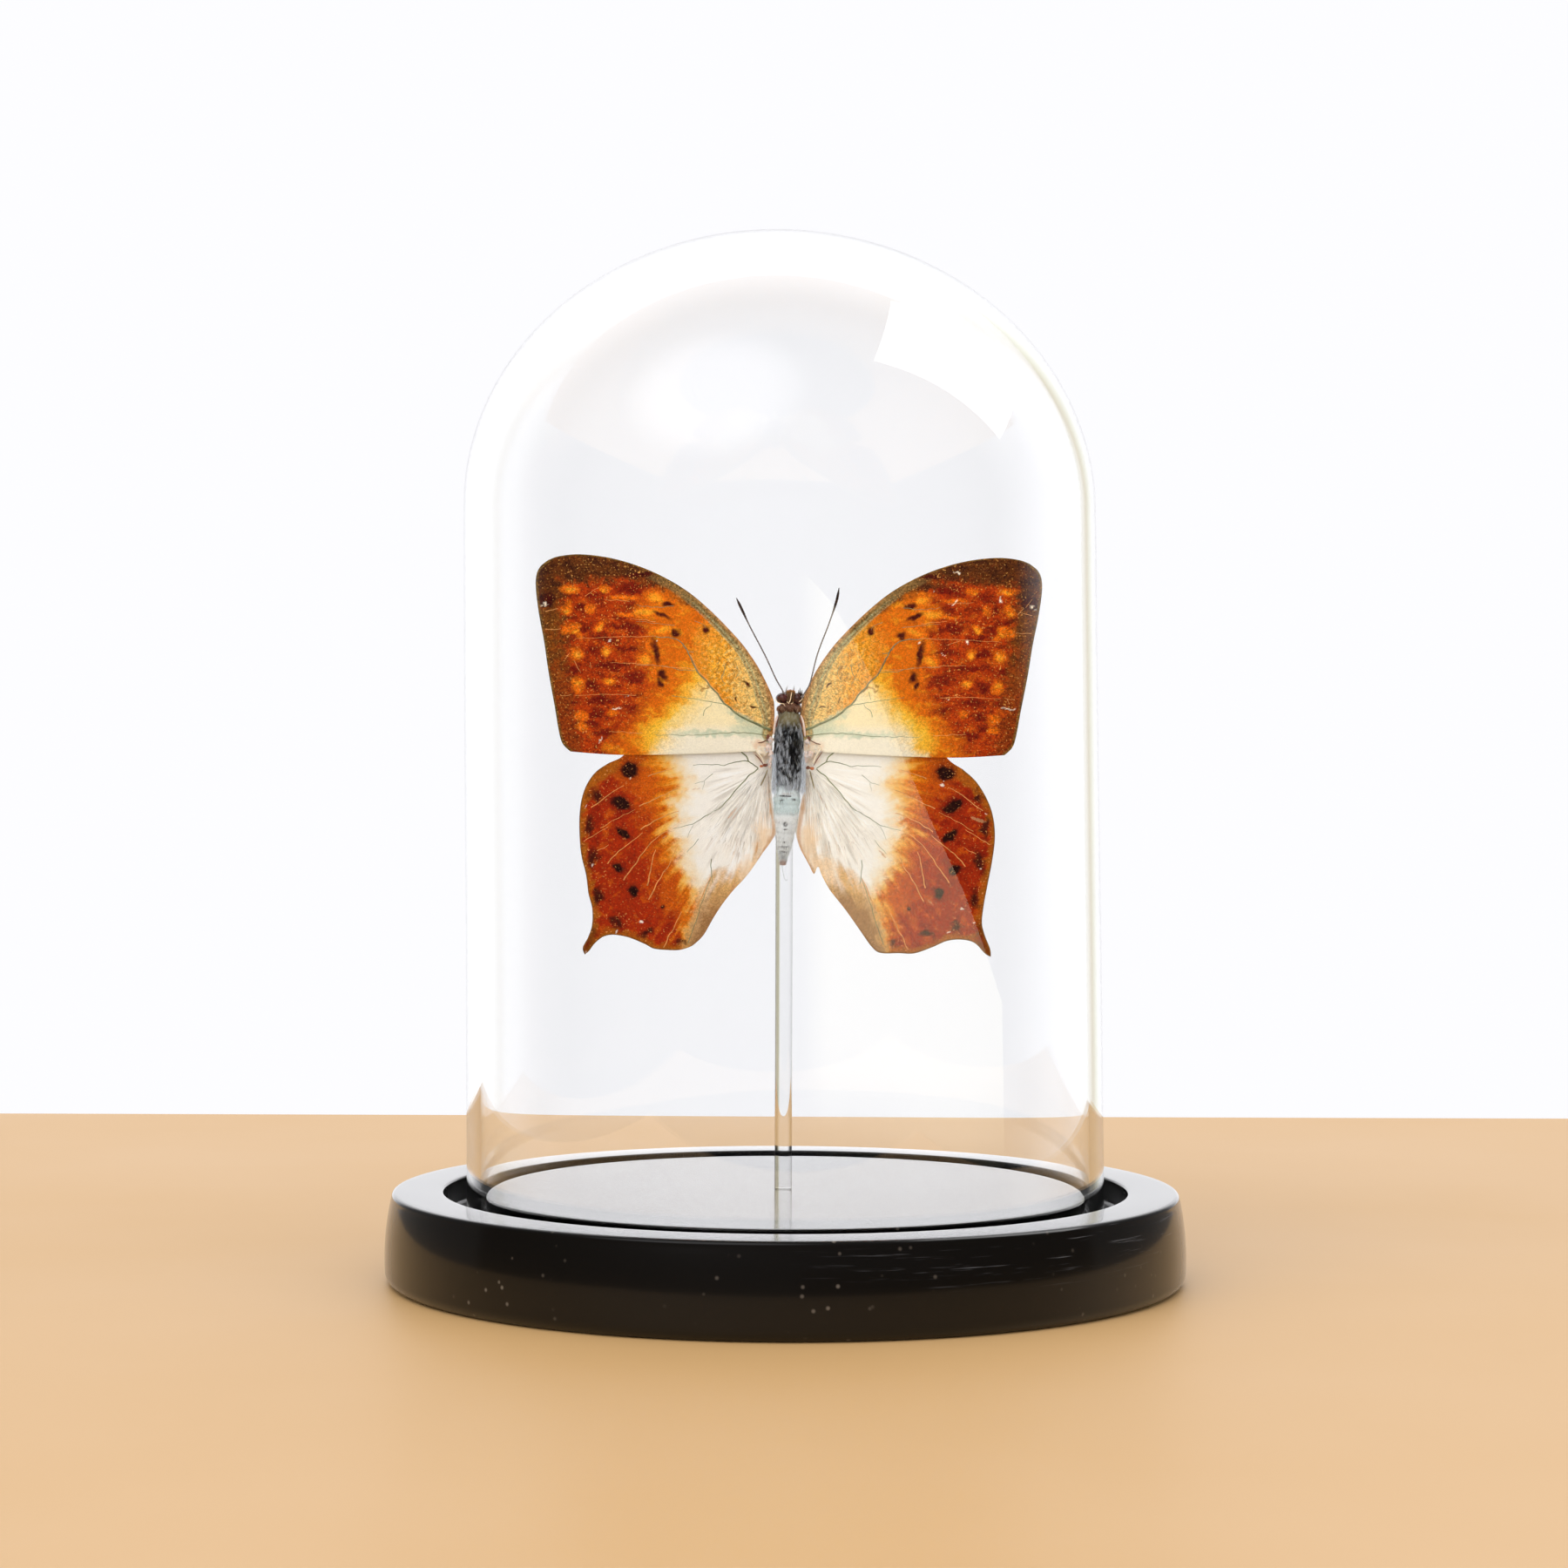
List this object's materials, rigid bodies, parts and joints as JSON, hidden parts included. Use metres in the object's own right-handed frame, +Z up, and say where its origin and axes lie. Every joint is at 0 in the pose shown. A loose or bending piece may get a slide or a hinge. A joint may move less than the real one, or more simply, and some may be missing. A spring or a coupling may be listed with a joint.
{
  "type": "butterfly in glass dome",
  "caption": "Spread orange butterfly glued upright on a clear glass rod, under a clear glass dome that stands in the groove of a round black wooden base.",
  "frame": {"origin": "centre of the round base's underside, on the surface it rests on", "axes": "+Z up along the dome and the rod; the butterfly's back and the front of the piece face -Y"},
  "size_m": [0.1254, 0.1254, 0.1643],
  "materials": {
    "lacquered_wood": "black satin lacquer on turned wood",
    "clear_glass": "clear, blown and polished",
    "clear_glue": "clear set resin glue",
    "wing_scales_orange": "dull scaled wing membrane, orange and brown",
    "wing_scales_pale": "dull scaled wing membrane, cream to orange",
    "dark_fur": "fine blue-black and grey hair",
    "pale_fur": "fine cream and pale grey hair",
    "brown_chitin": "dry brown insect skin, slightly glossy"
  },
  "bodies": {
    "root": {"base": "lacquered_wood", "dome": "clear_glass", "rod": "clear_glass", "glue_bead": "clear_glue", "forewing_left": "wing_scales_orange", "forewing_right": "wing_scales_orange", "hindwing_left": "wing_scales_pale", "hindwing_right": "wing_scales_pale", "head": "brown_chitin", "thorax": "dark_fur", "abdomen": "pale_fur", "antenna_left": "brown_chitin", "antenna_right": "brown_chitin", "palp_left": "pale_fur", "palp_right": "pale_fur", "proboscis": "brown_chitin", "foreleg_left": "brown_chitin", "foreleg_right": "brown_chitin", "midleg_left": "brown_chitin", "midleg_right": "brown_chitin", "hindleg_left": "brown_chitin", "hindleg_right": "brown_chitin"}
  },
  "joints": []
}
